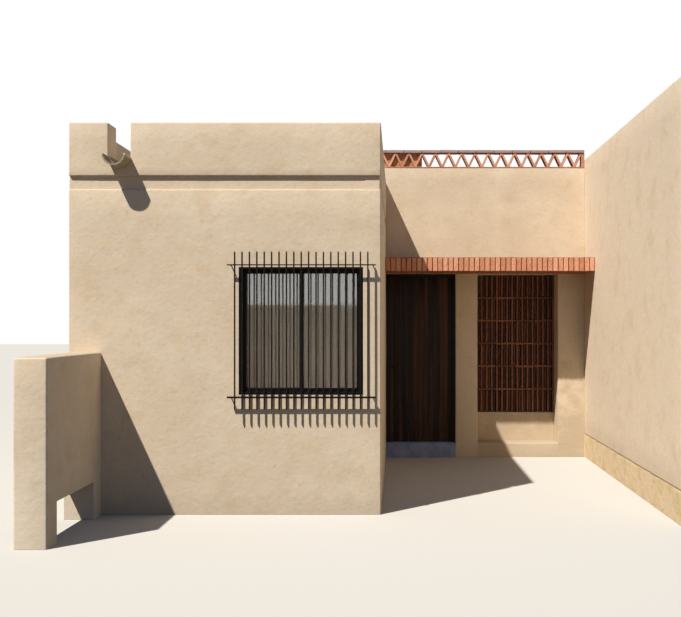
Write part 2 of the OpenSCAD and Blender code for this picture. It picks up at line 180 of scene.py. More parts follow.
# coarse render thrown on the foot of the party wall: matt, lumpy, dusty
castRender = stainedMaterial("roughCastRender", {
    "base": "#DBC29D",
    "coats": (("#CDB982", 0.22, 4, 0.47, 0.62, 0.7), ("#C8AB8A", 0.11, 5, 0.5, 0.66, 0.6),
              ("#E6D6BA", 0.016, 3, 0.52, 0.7, 0.5)),
    "grains": ((0.07, 5, 0.007), (0.012, 3, 0.0016))}, Roughness=0.95, IOR=1.45)
# the same with red clay in it, on the pier behind the zigzag: matt, lumpy, brown red
clayRender = stainedMaterial("clayRender", {
    "base": "#C08D62",
    "coats": (("#8E5F3F", 0.07, 5, 0.45, 0.7, 0.8), ("#D0A67E", 0.02, 3, 0.52, 0.7, 0.5)),
    "grains": ((0.06, 5, 0.006), (0.012, 3, 0.002))}, Roughness=0.95, IOR=1.45)
# sandy lime mortar between the bricks: matt, rough, brown in the joints
mortar = stainedMaterial("limeMortar", {
    "base": "#7A5440", "coats": (("#4F3326", 0.008, 4, 0.35, 0.65, 0.9),),
    "grains": ((0.008, 4, 0.002),)}, Roughness=0.95, IOR=1.45)
# the same mortar under the canopy as a redder copy, coloured for that shaded underside: painted
# shade
shadedSoffitMortar = stainedMaterial("limeMortarShadedCopy", {
    "base": "#8A5236", "coats": (("#5A3422", 0.03, 4, 0.35, 0.65, 0.9),),
    "grains": ((0.008, 4, 0.002),)}, Roughness=0.95, IOR=1.45)
# cast concrete with a floated face: cool dark grey, blotchy where it cured, fine pores
concrete = stainedMaterial("castConcrete", {
    "base": "#7E8BB0",
    "coats": (("#98A3C4", 0.14, 5, 0.4, 0.66, 0.8), ("#565A6E", 0.012, 2, 0.56, 0.72, 0.8),
              ("#7A7C94", 0.3, 5, 0.52, 0.72, 0.4)),
    "grains": ((0.14, 5, 0.003), (0.007, 2, 0.0008))}, Roughness=0.82, IOR=1.5)
# extruded aluminium, powder coated black: even, low gloss, a faint orange-peel and dust
aluminium = stainedMaterial("powderCoatedAluminium", {
    "base": "#040608", "coats": (("#141412", 0.11, 4, 0.55, 0.8, 0.3),),
    "grains": ((0.004, 1, 0.0002),)}, Roughness=0.6, IOR=1.5, Specular_IOR_Level=0.12)
# mild steel bars, brush painted black brown: thick paint, brush ridges, rust at scratches
iron = stainedMaterial("paintedMildSteel", {
    "base": "#140A05",
    "coats": (("#1E120B", 0.006, 3, 0.4, 0.7, 0.8), ("#4A2A18", 0.05, 5, 0.58, 0.72, 0.7)),
    "grains": ((0.006, 3, 0.0008),)}, Roughness=0.65, IOR=1.5, Specular_IOR_Level=0.12)
# cast zinc door furniture with a black finish: low gloss, worn where it is touched
hardware = stainedMaterial("blackenedZinc", {
    "base": "#0C0A08", "coats": (("#2A241D", 0.02, 4, 0.5, 0.75, 0.6),),
    "grains": ((0.02, 4, 0.0003),)}, Roughness=0.5, IOR=1.5, Specular_IOR_Level=0.2)


def firedBrick():
    # hand-moulded terracotta brick: matt, orange from brick to brick a little redder or paler,
    # pitted, grey where years of lime wash and dust lie on it, and darker red on the faces that
    # look down, as painted shade
    look = {"red": "#C2805D", "pale": "#DFA17E",
            "wash": ("#998F91", 1 / 14, 5, 0.3, 0.62, 0.55), "undersideShade": ("#9C5430", -0.2, -0.4, 0.8),
            "coats": (("#A05936", 0.07, 4, 0.5, 0.75, 0.6), ("#EDBC98", 0.014, 3, 0.52, 0.74, 0.7),
                      ("#7E412A", 0.02, 3, 0.56, 0.74, 0.6)),
            "grains": ((0.05, 4, 0.004), (0.009, 3, 0.0016))}
    made, tree, where = newMaterial("terracottaBrick", Roughness=0.9, IOR=1.5)
    tone = addNode(tree, "Attribute", give="Fac", attribute_name="tone")
    colour = addNode(tree, "Mix", {0: tone, 6: linearColour(look["red"]),
                                   7: linearColour(look["pale"])}, **rgba)
    colour = stain(tree, where, colour, look["coats"])
    colour = tintByAttribute(tree, where, colour, "wash", *look["wash"])
    # faces that look down take a dark red: painted shade
    colour = tintByFacing(tree, colour, *look["undersideShade"])
    return connect(made, Base_Color=colour, Normal=roughen(tree, where, look["grains"]))


def screenClay():
    # extruded terracotta strips of the screen: matt, brown red, darker than the bricks
    look = {"brown": "#432519", "light": "#8C5A43",
            "coats": (("#4A2A1D", 0.06, 4, 0.5, 0.75, 0.6),
                      ("#B07D60", 0.012, 3, 0.58, 0.78, 0.4)),
            "grains": ((0.006, 2, 0.0008),)}
    made, tree, where = newMaterial("extrudedTerracotta", Roughness=0.85, IOR=1.5)
    tone = addNode(tree, "Attribute", give="Fac", attribute_name="tone")
    tone = addNode(tree, "Clamp", {"Value": tone})
    colour = addNode(tree, "Mix", {0: tone, 6: linearColour(look["brown"]),
                                   7: linearColour(look["light"])}, **rgba)
    return connect(made, Base_Color=stain(tree, where, colour, look["coats"]),
                   Normal=roughen(tree, where, look["grains"]))


def roofScreed():
    # lime and sand screed over the roof: matt, blotched by standing water, hair cracks
    look = {"sand": "#978872", "crack": "#6B5D4E", "crackEvery": 0.55, "crackWide": 0.008,
            "crackBend": 0.16,
            "coats": (("#A99A84", 0.7, 6, 0.35, 0.6, 1.0), ("#776857", 0.9, 6, 0.55, 0.7, 0.7),
                      ("#877965", 0.02, 3, 0.55, 0.75, 0.5)),
            "grains": ((0.3, 4, 0.006), (0.012, 3, 0.0015))}
    made, tree, where = newMaterial("limeScreed", Roughness=0.93, IOR=1.45)
    colour = stain(tree, where, linearColour(look["sand"]), look["coats"])
    stray = addNode(tree, "TexNoise", {"Vector": where, "Scale": 2.5, "Detail": 3.0}, give=1)
    bent = addNode(tree, "VectorMath", {0: stray, 1: (look["crackBend"],) * 3, 2: where},
                   operation="MULTIPLY_ADD")
    edge = addNode(tree, "TexVoronoi", {"Vector": bent, "Scale": 1 / look["crackEvery"]},
                   feature="DISTANCE_TO_EDGE")
    share = addNode(tree, "MapRange", {0: edge, 1: 0.0, 2: look["crackWide"], 3: 0.6, 4: 0.0})
    colour = addNode(tree, "Mix", {0: share, 6: colour, 7: linearColour(look["crack"])}, **rgba)
    return connect(made, Base_Color=colour, Normal=roughen(tree, where, look["grains"]))


def floorTile():
    # square clay floor tiles of 300 mm, waxed: brown red, thin grey joints
    look = {"tile": "#9A6246", "other": "#B57C59", "joint": "#8B7C6D", "side": 0.3,
            "jointWide": 0.006, "jointDeep": 0.002,
            "coats": (("#8B7C6D", 0.2, 4, 0.45, 0.7, 0.4),)}
    made, tree, where = newMaterial("waxedClayTile", Roughness=0.55, IOR=1.5)
    tiles = {"Vector": where, "Color1": linearColour(look["tile"]),
             "Color2": linearColour(look["other"]), "Mortar": linearColour(look["joint"]),
             "Scale": 1.0, "Mortar Size": look["jointWide"], "Brick Width": look["side"],
             "Row Height": look["side"]}
    colour = addNode(tree, "TexBrick", tiles, offset=0.0)
    joints = addNode(tree, "TexBrick", tiles, give=1, offset=0.0)
    relief = addNode(tree, "Bump", {"Height": joints, "Distance": -look["jointDeep"]})
    return connect(made, Base_Color=stain(tree, where, colour, look["coats"]), Normal=relief)


def stainedPine(name, look):
    # pine stained near black and oiled: long grain along Z, brown where the stain wore thin,
    # low sheen. The grain is noise squeezed across the board, moved on from plank to plank
    made, tree, where = newMaterial(name, Roughness=look["rough"], IOR=1.5,
                                    Specular_IOR_Level=0.2)
    tone = addNode(tree, "Attribute", give="Fac", attribute_name="tone")
    away = addNode(tree, "CombineXYZ", {0: tone, 1: tone, 2: 0.0})
    moved = addNode(tree, "VectorMath", {0: away, 1: (3.0, 1.7, 0.0), 2: where},
                    operation="MULTIPLY_ADD")
    along = addNode(tree, "VectorMath", {0: moved, 1: (1.0, 1.0, look["stretch"])},
                    operation="MULTIPLY")
    return connect(made, Base_Color=stain(tree, along, linearColour(look["dark"]), look["coats"]),
                   Normal=roughen(tree, along, look["grains"]))


def floatGlass():
    # float glass with a thin solar coat: mirrors the sky more than bare glass does, smooth,
    # with a film of dust that dulls it in patches
    look = {"tint": "#F0F1EE", "film": 0.25}
    made, tree, where = newMaterial("floatGlass", IOR=1.52, Transmission_Weight=1.0,
                                    Coat_Weight=1.0, Coat_IOR=2.2, Coat_Roughness=0.02,
                                    Base_Color=linearColour(look["tint"]))
    film = addNode(tree, "TexNoise", {"Vector": where, "Scale": 1 / look["film"], "Detail": 5.0})
    return connect(made, Roughness=addNode(
        tree, "MapRange", {0: film, 1: 0.5, 2: 0.8, 3: 0.01, 4: 0.1}))


def sheerCloth():
    # sheer woven polyester, threads about 0.4 mm apart drawn at 3 mm: soft, warm grey, matt
    look = {"thread": "#DDD6CC", "gap": "#B0A89C", "every": 0.003, "deep": 0.0004}
    made, tree, _ = newMaterial("sheerPolyester", Roughness=0.85, IOR=1.45, Sheen_Weight=0.25)
    chart = addNode(tree, "UVMap", uv_map="clothUV")
    # a wave node draws a band every 1 / (scale * 6.37) of its unit
    weave = {"Vector": chart, "Scale": 1 / (6.37 * look["every"]), "Distortion": 1.5,
             "Detail": 2.0}
    warp = addNode(tree, "TexWave", weave, give=1, bands_direction="X")
    weft = addNode(tree, "TexWave", weave, give=1, bands_direction="Y")
    threads = addNode(tree, "Math", {0: warp, 1: weft}, operation="MULTIPLY")
    colour = addNode(tree, "Mix", {0: threads, 6: linearColour(look["gap"]),
                                   7: linearColour(look["thread"])}, **rgba)
    relief = addNode(tree, "Bump", {"Height": threads, "Distance": look["deep"]})
    return connect(made, Base_Color=colour, Normal=relief)


def weatheredClay():
    # half-round clay pipe washed with lime: sand colour, grey green film inside, and the film as
    # painted shade on its underside
    look = {"sand": "#D0BB9B", "film": ("#6B6450", 1 / 60, 4, 0.3, 0.65, 0.5),
            "coats": (("#E2D2B8", 0.015, 4, 0.4, 0.65, 0.9), ("#B39C7B", 0.06, 4, 0.5, 0.7, 0.5)),
            "grains": ((0.015, 4, 0.002),)}
    made, tree, where = newMaterial("limeWashedClay", Roughness=0.88, IOR=1.45)
    colour = stain(tree, where, linearColour(look["sand"]), look["coats"])
    colour = tintByAttribute(tree, where, colour, "film", *look["film"])
    return connect(made, Base_Color=colour, Normal=roughen(tree, where, look["grains"]))


brick = firedBrick()
clay = screenClay()
screed = roofScreed()
tile = floorTile()
plankWood = stainedPine("stainedPinePlanks", {
    "dark": "#150E0A", "rough": 0.55, "stretch": 0.03,
    "coats": (("#523521", 0.12, 3, 0.43, 0.64, 0.95), ("#5C3A24", 0.02, 4, 0.52, 0.74, 0.6),
              ("#0A0809", 0.4, 2, 0.44, 0.6, 0.7), ("#090605", 0.006, 3, 0.5, 0.7, 0.7)),
    "grains": ((0.006, 4, 0.0012),)})
frameWood = stainedPine("stainedPineFrame", {
    "dark": "#0A0807", "rough": 0.6, "stretch": 0.03,
    "coats": (("#1A120D", 0.02, 5, 0.5, 0.72, 0.7),), "grains": ((0.006, 4, 0.001),)})
glass = floatGlass()
cloth = sheerCloth()
spoutClay = weatheredClay()
print("materials made")


# mesh tools

def placePiece(name, points, faces, material, slot, body="house", replaced=(), turn=32,
               values=None, turnedOut=False):
    # points and faces to a closed piece: smooth up to the turn angle, on its body
    mesh = bpy.data.meshes.new(name)
    mesh.from_pydata(points.tolist(), [], faces if isinstance(faces, list) else faces.tolist())
    for key, row in (values or {}).items():
        held = mesh.attributes.new(key, "FLOAT", "POINT")
        held.data.foreach_set("value", row.astype(np.float32))
    mesh.polygons.foreach_set("use_smooth", np.ones(len(mesh.polygons), bool))
    mesh.set_sharp_from_angle(angle=math.radians(turn))
    if turnedOut:
        work = bmesh.new()
        work.from_mesh(mesh)
        bmesh.ops.recalc_face_normals(work, faces=work.faces)
        work.to_mesh(mesh)
        work.free()
    mesh.materials.append(material)
    piece = bpy.data.objects.new(name, mesh)
    scene.collection.objects.link(piece)
    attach(piece, body)
    if replaced:
        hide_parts(*replaced)
    return piece


waviness = {"depth": 0.0016, "lengths": (1.9, 1.15, 0.62)}


def sag(points):
    # how far a hand-floated face lies behind its true plane: the mean of three slow sine
    # waves over the place in the room, always inwards
    x, y, z = points.T
    total = 0
    for turn, length in enumerate(waviness["lengths"]):
        k = 2 * math.pi / length
        total = total + np.sin(k * (x * 0.9 + y * 1.1) + 2.1 * turn) * np.sin(
            k * (z * 1.05 + 0.3 * x - 0.4 * y) + 1.3 * turn)
    return waviness["depth"] * (1 + total / 3)


def gridFaces(rows, columns, closed=(0, 0)):
    # the four-cornered faces between the points of a grid, closed over its last row or column
    # where that is asked for
    index = np.pad(np.arange(rows * columns).reshape(rows, columns), [(0, n) for n in closed],
                   mode="wrap")
    return np.stack([index[:-1, :-1], index[:-1, 1:], index[1:, 1:], index[1:, :-1]],
                    -1).reshape(-1, 4)


def edgeLines(low, high, softLow, softHigh, radius, step):
    # places along one side: even steps on the flat, and tangents of 45 and 22.5 degrees
    # where an edge is rounded
    start, stop = low + radius * softLow, high - radius * softHigh
    flat = np.linspace(start, stop, max(1, math.ceil((stop - start) / step)) + 1)
    bend = radius * (1 - np.tan(np.radians([45.0, 22.5])))
    return np.concatenate([low + bend if softLow else [], flat,
                           (high - bend)[::-1] if softHigh else []])


def softBox(low, high, soft, radius=0.012, step=0.25, wavy=True):
    # a box whose soft sides meet in rounded edges. A point on the flat box is taken to the
    # core box that lies radius inside the soft sides, and set back out from there by the
    # largest part of its offset along the offset's own direction
    low, high = np.array(low, float), np.array(high, float)
    softLow = np.array(["-" + a in soft for a in "xyz"], float)
    softHigh = np.array(["+" + a in soft for a in "xyz"], float)
    radius = min(radius, *((high - low) * 0.45))
    lines = [edgeLines(low[a], high[a], softLow[a], softHigh[a], radius, step) for a in range(3)]
    allPoints, allFaces, count = [], [], 0
    for axis in range(3):
        u, v = [a for a in range(3) if a != axis]
        gridU, gridV = np.meshgrid(lines[u], lines[v], indexing="ij")
        quads = gridFaces(*gridU.shape)
        for side, place in ((0, low[axis]), (1, high[axis])):
            points = np.empty((gridU.size, 3))
            points[:, axis], points[:, u], points[:, v] = place, gridU.ravel(), gridV.ravel()
            core = np.clip(points, low + radius * softLow, high - radius * softHigh)
            offset = points - core
            length = np.linalg.norm(offset, axis=1, keepdims=True)
            away = offset / np.maximum(length, 1e-9)
            points = core + away * np.abs(offset).max(1, keepdims=True)
            if wavy:
                points -= away * sag(points)[:, None]
            turned = (side == 1) != (axis != 1)
            allFaces.append(quads[:, [1, 2, 3, 0] if turned else [0, 3, 2, 1]] + count)
            allPoints.append(points)
            count += gridU.size
    # points of two sides that fall in one cell of 0.001 mm become one, so that each box is
    # shut. The offset keeps round measures off the borders of the cells
    points, faces = np.concatenate(allPoints), np.concatenate(allFaces)
    cells = np.round(points * 1e6 + 0.123)
    _, first, place = np.unique(cells, axis=0, return_index=True, return_inverse=True)
    return points[first], place.ravel()[faces]


def joinParts(parts):
    # several point and face arrays as one
    shift, points, faces = 0, [], []
    for partPoints, partFaces in parts:
        points.append(partPoints)
        faces.append(partFaces + shift)
        shift += len(partPoints)
    return np.concatenate(points), np.concatenate(faces)


def chamferedCorners():
    # the 24 points and 26 faces of a box with cut edges: each corner gives one point on each
    # of its three sides, as signs and as the side that the point lies on
    eight = [(i, j, k) for i in (-1, 1) for j in (-1, 1) for k in (-1, 1)]
    signs = np.repeat(np.array(eight), 3, axis=0)
    full = np.tile(np.eye(3), (8, 1))
    point = {(*corner, axis): 3 * number + axis for number, corner in enumerate(eight)
             for axis in range(3)}
    faces = [[point[(*corner, axis)] for axis in range(3)] for corner in eight]
    for axis in range(3):
        u, v = [a for a in range(3) if a != axis]
        for side in (-1, 1):
            ring = []
            for a, b in ((-1, -1), (1, -1), (1, 1), (-1, 1)):
                corner = [0, 0, 0]
                corner[axis], corner[u], corner[v] = side, a, b
                ring.append(point[(*corner, axis)])
            faces.append(ring)
            for other in (-1, 1):
                pair = []
                for end in (-1, 1):
                    corner = [0, 0, 0]
                    corner[axis], corner[u], corner[v] = end, side, other
                    pair.append((point[(*corner, u)], point[(*corner, v)]))
                faces.append([pair[0][0], pair[0][1], pair[1][1], pair[1][0]])
    shape = signs * (0.8 + 0.2 * full)
    for face in faces:
        ring = shape[face]
        if np.dot(np.cross(ring[1] - ring[0], ring[2] - ring[1]), ring.mean(0)) < 0:
            face.reverse()
    return signs, full, faces


def cutBoxes(centres, sizes, turns, cut):
    # many bricks at once: the cut-cornered box scaled to each size, turned about Y by each
    # angle and moved to each centre
    signs, full, faces = chamferedCorners()
    half = sizes[:, None, :] / 2
    local = signs[None] * (half - cut * (1 - full[None]))
    c, s = np.cos(turns)[:, None], np.sin(turns)[:, None]
    x = local[..., 0] * c + local[..., 2] * s
    z = local[..., 2] * c - local[..., 0] * s
    points = (np.stack([x, local[..., 1], z], -1) + centres[:, None, :]).reshape(-1, 3)
    rows = [[n + 24 * k for n in face] for k in range(len(centres)) for face in faces]
    return points, rows


def brickPiece(name, centres, sizes, turns, cut, material, slot, replaced=(), seed=1,
               loose=0.002, shrink=0.02, lean=0.01, wash=0.0, tones=0.0):
    # laid bricks with the small errors of a mason's hand, one tone each, and their lime wash:
    # loose is how far one lies off its place, in metres, shrink the share that it may lack of
    # its size, and lean its turn in radians
    chance = np.random.default_rng(seed)
    centres, sizes = np.array(centres, float), np.array(sizes, float)
    centres = centres + chance.uniform(-loose, loose, centres.shape)
    sizes = sizes * (1 - chance.uniform(0, shrink, sizes.shape))
    turns = np.array(turns, float) + chance.uniform(-lean, lean, len(centres))
    points, faces = cutBoxes(centres, sizes, turns, cut)
    tone = np.repeat(chance.uniform(0, 1, len(centres)) + tones, 24)
    return placePiece(name, points, faces, material, slot, replaced=replaced,
                      values={"tone": tone, "wash": np.full(len(tone), wash)})


def corners(node):
    low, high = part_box(node)
    return np.array(low), np.array(high)


def wallPiece(name, parts, material=plaster, radius=0.012):
    # a plastered wall of boxes with their free sides. Its name is that of the solid that it
    # replaces, and its finish
    made = [softBox(low, high, soft.split(), radius) for low, high, soft in parts]
    node = name.rsplit("_", 1)[0]
    return placePiece(name, *joinParts(made), material, "plaster",
                      replaced=[node] if node in nodes else [])


# walls: boxes of each wall with its free sides named, so that free edges come out rounded. The
# groove under the parapet runs over the front and over both of its corners

wallLook = {"grooveLow": 2.849, "grooveHigh": 2.964, "grooveDepth": 0.023, "sideGroove": 0.012}
gLow, gHigh, gDeep = wallLook["grooveLow"], wallLook["grooveHigh"], wallLook["grooveDepth"]
entryLow = corners("entry_lintel_wall")[0]
frontLow = corners("front_wall")[0]
floorTop = corners("main_floor")[1][2]
(wx0, _, wz0), (wx1, _, wz1) = corners("window_frame")
(rx0, _, _), (rx1, _, _) = corners("rear_window_frame")

(x0, y0, _), (x1, y1, top) = corners("left_wall")
wallPiece("left_wall_plaster", [
    ((x0, y0, 0), (x1, y0 + gDeep, gLow), "-x -y +z"),
    ((x0, y0, gHigh), (x1, y0 + gDeep, top), "-x -y -z"),
    ((x0, y0 + gDeep, 0), (x1, y1, top), "-x +y")])

(x0, y0, _), (x1, y1, _) = corners("front_wall")
wallPiece("front_wall_plaster", [
    ((x0, y0, 0), (wx0, y1, gLow), "-y +z"),
    ((wx1, y0, 0), (x1, y1, gLow), "-y +z"),
    ((wx0, y0, 0), (wx1, y1, wz0), "-y"),
    ((wx0, y0, wz1), (wx1, y1, gLow), "-y +z"),
    ((x0, y0 + gDeep, gLow), (x1, y1, gHigh), "-y"),
    ((x0, y0, gHigh), (x1, y1, top), "-y -z")])

(x0, y0, _), (x1, y1, _) = corners("block_right_wall")
yEntry = entryLow[1]
wallPiece("block_right_wall_plaster", [
    ((x0, y0, 0), (x1, yEntry, gLow), "+x -y +z"),
    ((x0, y0 + gDeep, gLow), (x1 - wallLook["sideGroove"], yEntry, gHigh), "+x"),
    ((x0, y0, gHigh), (x1, yEntry, top), "+x -y -z"),
    ((x0, yEntry, 0), (x1, y1, top), "+x")])

(x0, y0, _), (x1, y1, _) = corners("back_wall")
wallPiece("back_wall_plaster", [
    ((x0, y0, 0), (rx0, y1, top), "+y"),
    ((rx1, y0, 0), (x1, y1, top), "+y"),
    ((rx0, y0, 0), (rx1, y1, wz0), "+y"),
    ((rx0, y0, wz1), (rx1, y1, top), "+y")])

notchLook = {"wide": 0.192, "arc": 13, "bite": 0.016}


def notchedParapet():
    # two boxes beside the notch, and a seat whose top is a half circle between them: points on
    # the arc and straight below them on the roof, carried from the front face to the back
    low, high = corners("front_parapet")
    left = corners("left_parapet")[1][0]
    right = left + notchLook["wide"]
    middle, radius, rim = (left + right) / 2, notchLook["wide"] / 2, corners("spout")[1][2]
    parts = [softBox(low, (left, high[1], high[2]), ["-x", "+x", "-y", "+z"]),
             softBox((right, low[1], low[2]), high, ["-x", "+x", "-y", "+z"])]
    for start, side in ((math.pi, -1), (1.6 * math.pi, 1)):
        turn = np.linspace(start, start + 0.4 * math.pi, notchLook["arc"])[::-side]
        x = np.append(middle + radius * np.cos(turn), middle + side * (radius + notchLook["bite"]))
        z = np.append(np.maximum(rim + radius * np.sin(turn), low[2] + 0.0005), rim)
        ring = np.stack([np.concatenate([x, x[::-1]]),
                         np.concatenate([z, np.full(x.size, low[2])])], -1)
        count = len(ring)
        y = np.repeat([low[1], high[1]], count)
        points = np.stack([np.tile(ring[:, 0], 2), y, np.tile(ring[:, 1], 2)], -1)
        points[:count, 1] += sag(points[:count])
        k = np.arange(count)
        sides = np.stack([k, (k + 1) % count, (k + 1) % count + count, k + count], -1)
        j = np.arange(count // 2 - 1)
        front = np.stack([j, count - 1 - j, count - 2 - j, j + 1], -1)
        parts.append((points, np.concatenate([sides[:, ::-1], front[:, ::-1], front + count])))
    placePiece("front_parapet_plaster", *joinParts(parts), plaster, "plaster",
               replaced=["front_parapet"], turnedOut=True)


notchedParapet()
for node, soft, material in (("left_parapet", "-x +x +z", plaster),
                             ("block_right_parapet", "-x +x +z", plaster),
                             ("back_parapet", "-x +y +z", plaster),
                             ("entry_lintel_wall", "-y", recessShadePlaster),
                             ("entry_parapet", "-y +z", recessShadePlaster),
                             ("niche_back_wall", "-y +z", recessShadePlaster),
                             ("niche_sill_wall", "-y +z", recessShadePlaster)):
    wallPiece(node + "_plaster", [(*corners(node), soft)], material)

# clay render on the pier behind the zigzag, and in the zigzag's first gaps
fillLook = {"back": 0.034}  # from the zigzag's face
low, high = corners("lattice_backing")
wallPiece("lattice_backing_render", [(low, high, "+x +y +z")], clayRender)
front = corners("parapet_lattice")[0][1] + fillLook["back"]
wallPiece("lattice_fill_render", [((low[0], front, low[2]), (high[0], low[1], high[2]), "-y")],
          clayRender)

for node, soft, material in (("entry_pier", "-x +x -y", plaster),
                             ("entry_wall_right", "-x -y", recessShadePlaster)):
    low, high = corners(node)
    wallPiece(node + "_plaster", [(low, (high[0], high[1], floorTop), "-y"),
                                  ((low[0], low[1], floorTop), high, soft)], material)

lowWallLook = {"openingHigh": 0.32, "foot": 0.2, "radius": 0.018}
low, high = corners("low_wall")
rise, foot = lowWallLook["openingHigh"], lowWallLook["foot"]
wallPiece("low_wall_plaster", [
    ((low[0], low[1], rise), high, "-x +x -y +z"),
    (low, (high[0], low[1] + foot, rise), "-x +x -y"),
    ((low[0], high[1] - foot, 0), (high[0], high[1], rise), "-x +x")], dustyPlaster,
    lowWallLook["radius"])

partyWallLook = {"radius": 0.006}
low, high = corners("right_party_wall")
footHigh = corners("right_wall_plinth")[1]
wallPiece("right_party_wall_plaster", [
    ((low[0], low[1], footHigh[2]), high, "-x +x -y +z -z"),
    ((footHigh[0], low[1], 0), (high[0], footHigh[1], footHigh[2]), "+x -y"),
    ((low[0], footHigh[1], 0), (high[0], high[1], footHigh[2]), "+x")],
    partyPlaster, partyWallLook["radius"])
print("walls plastered")


# rough plinth along the party wall

plinthLook = {"lump": 0.0025, "hollow": 0.0012, "forward": 0.002, "step": 0.03,
              "rows": (0, 0.15, 0.3, 0.45, 0.6, 0.72, 0.82, 0.88, 0.92, 0.96, 1.0)}


def plinthSkin():
    # a sheet over length and height behind the plaster's drip edge: its thickness less sine
    # lumps, and less hollows of changing depth under the edge, where the cast render ends
    low, high = corners("right_wall_plinth")
    along = np.arange(low[1], high[1] + 0.001, plinthLook["step"])
    along[-1] = high[1]
    y, v = np.meshgrid(along, plinthLook["rows"], indexing="ij")
    ragged = np.sin(y * 9.1) * 0.5 + np.sin(y * 23.7 + 1) * 0.3 + np.sin(y * 51.3 + 2) * 0.2
    z = low[2] + v * (high[2] - low[2] - 0.0005)
    lump = plinthLook["lump"] * (1 + np.sin(y * 31 + z * 40) * np.sin(z * 57 - y * 12)) / 2
    hollow = plinthLook["hollow"] * (1 + ragged) * np.clip((v - 0.9) / 0.06, 0, 1)
    thick = high[0] - low[0] + plinthLook["forward"] - lump - hollow
    front = np.stack([high[0] - thick, y, z], -1)
    rear = np.stack([np.full_like(y, high[0]), y, z], -1)
    points = np.concatenate([front.reshape(-1, 3), rear.reshape(-1, 3)])
    index = np.arange(y.size).reshape(y.shape)
    quads = gridFaces(*y.shape)
    ring = np.concatenate([index[:, 0], index[-1, 1:], index[-2::-1, -1], index[0, -2:0:-1]])
    after = np.roll(ring, -1)
    sides = np.stack([ring, after, after + y.size, ring + y.size], -1)
    placePiece("right_wall_plinth_render", points,
               np.concatenate([quads, quads[:, ::-1] + y.size, sides]), castRender,
               "plinth_render", replaced=["right_wall_plinth"], turnedOut=True)


plinthSkin()


# brick canopy: bricks on edge in rows, over a mortar bed and under a mortar topping

canopyLook = {"pitch": 0.062, "joint": 0.01, "rows": 3, "cut": 0.003, "bed": 0.004,
              "topping": 0.006, "play": 0.001, "fillBack": 0.016, "fillTop": 0.012,
              "coverBack": 0.008, "coverThick": 0.014}


def canopyBricks():
    low, high = corners("entry_canopy")
    count = round((high[0] - low[0]) / canopyLook["pitch"])
    pitch = (high[0] - low[0]) / count
    deep = (high[1] - low[1]) / canopyLook["rows"]
    play, brickTop = canopyLook["play"], high[2] - canopyLook["topping"]
    i, j = np.meshgrid(np.arange(count), np.arange(canopyLook["rows"]), indexing="ij")
    centres = np.stack([low[0] + (i.ravel() + 0.5) * pitch, low[1] + (j.ravel() + 0.5) * deep,
                        np.full(i.size, (low[2] + brickTop) / 2)], -1)
    sizes = np.tile([pitch - canopyLook["joint"], deep - canopyLook["joint"],
                     brickTop - low[2] - 2 * play], (i.size, 1))
    brickPiece("canopy_bricks", centres, sizes, np.zeros(i.size), canopyLook["cut"], brick,
               "brick", ["entry_canopy"], seed=7, loose=0.001, shrink=0.012)
    fill = softBox(low + [play, canopyLook["fillBack"], canopyLook["bed"]],
                   high - [play, 0.0, canopyLook["fillTop"]], ["-y"], 0.002, 0.5, wavy=False)
    # the bed between and under the canopy bricks takes the shaded copy: painted shade
    placePiece("canopy_mortar", *fill, shadedSoffitMortar, "brick")
    cover = softBox((low[0] + play, low[1] + canopyLook["coverBack"],
                     high[2] - canopyLook["coverThick"]), high - [play, 0.0, 0.0],
                    ["-y", "+z"], 0.004, 0.1)
    placePiece("canopy_topping", *cover, mortar, "brick")


canopyBricks()


# zigzag parapet: thin bricks that lean in pairs on a flat course, with mortar dabs, under a cap

latticeLook = {"count": 16, "thick": 0.026, "start": 0.014, "end": 0.038, "cut": 0.0025,
               "wash": 0.12, "brick": 0.235}
dabLook = {"half": (0.022, 0.007), "back": 0.01, "fromEdge": 0.006, "left": 0.023,
           "right": 0.04, "radius": 0.005}
courseLook = {"thick": 0.01, "lift": 0.0015, "front": 0.003, "back": 0.001, "joint": 0.003,
              "cut": 0.0015}
capLook = {"joint": 0.006, "cut": 0.003, "wash": 1.0, "bedBack": 0.008}


def brickCourse(name, low, high, look, **hand):
    # one row of bricks laid flat along X, which fills its box apart from the joints
    count = round((high[0] - low[0]) / latticeLook["brick"])
    each = (high[0] - low[0]) / count
    centres = np.tile((low + high) / 2, (count, 1))
    centres[:, 0] = low[0] + (np.arange(count) + 0.5) * each
    sizes = np.tile([each - look["joint"], high[1] - low[1], high[2] - low[2]], (count, 1))
    brickPiece(name, centres, sizes, np.zeros(count), look["cut"], brick, "brick", **hand)


